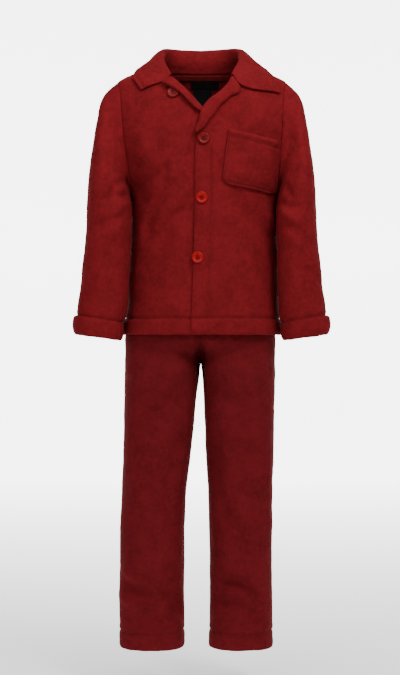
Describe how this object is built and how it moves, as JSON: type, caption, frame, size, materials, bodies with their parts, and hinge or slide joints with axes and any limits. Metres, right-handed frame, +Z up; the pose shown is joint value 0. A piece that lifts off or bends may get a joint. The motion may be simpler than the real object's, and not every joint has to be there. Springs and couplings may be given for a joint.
{
  "type": "plush fleece pyjama set",
  "caption": "Child's long-sleeved button-front pyjama jacket with turned collar and chest pocket over long straight trousers, filled out with no wearer.",
  "frame": {"origin": "between the wearer's shoulders, at the height of the shoulder points", "axes": "+Z up, the garment's front faces -Y, the wearer's left is at +X"},
  "size_m": [0.415, 0.1914, 0.9921],
  "materials": {
    "jacket_fleece": "deep red plush fleece, short dense pile",
    "trouser_fleece": "deep red plush fleece, short dense pile",
    "neck_tape": "woven cotton tape",
    "label_cloth": "black satin label, bare",
    "button_plastic": "moulded polyester resin, glossy"
  },
  "bodies": {
    "root": {"jacket_back": "jacket_fleece", "jacket_front_left": "jacket_fleece", "jacket_front_right": "jacket_fleece", "sleeve_left": "jacket_fleece", "sleeve_right": "jacket_fleece", "collar": "jacket_fleece", "chest_pocket": "jacket_fleece", "neck_tape": "neck_tape", "neck_label": "label_cloth", "care_label": "label_cloth", "button_1": "button_plastic", "button_2": "button_plastic", "button_3": "button_plastic", "button_top": "button_plastic", "trouser_front_right": "trouser_fleece", "trouser_back_right": "trouser_fleece", "trouser_front_left": "trouser_fleece", "trouser_back_left": "trouser_fleece"}
  },
  "joints": []
}
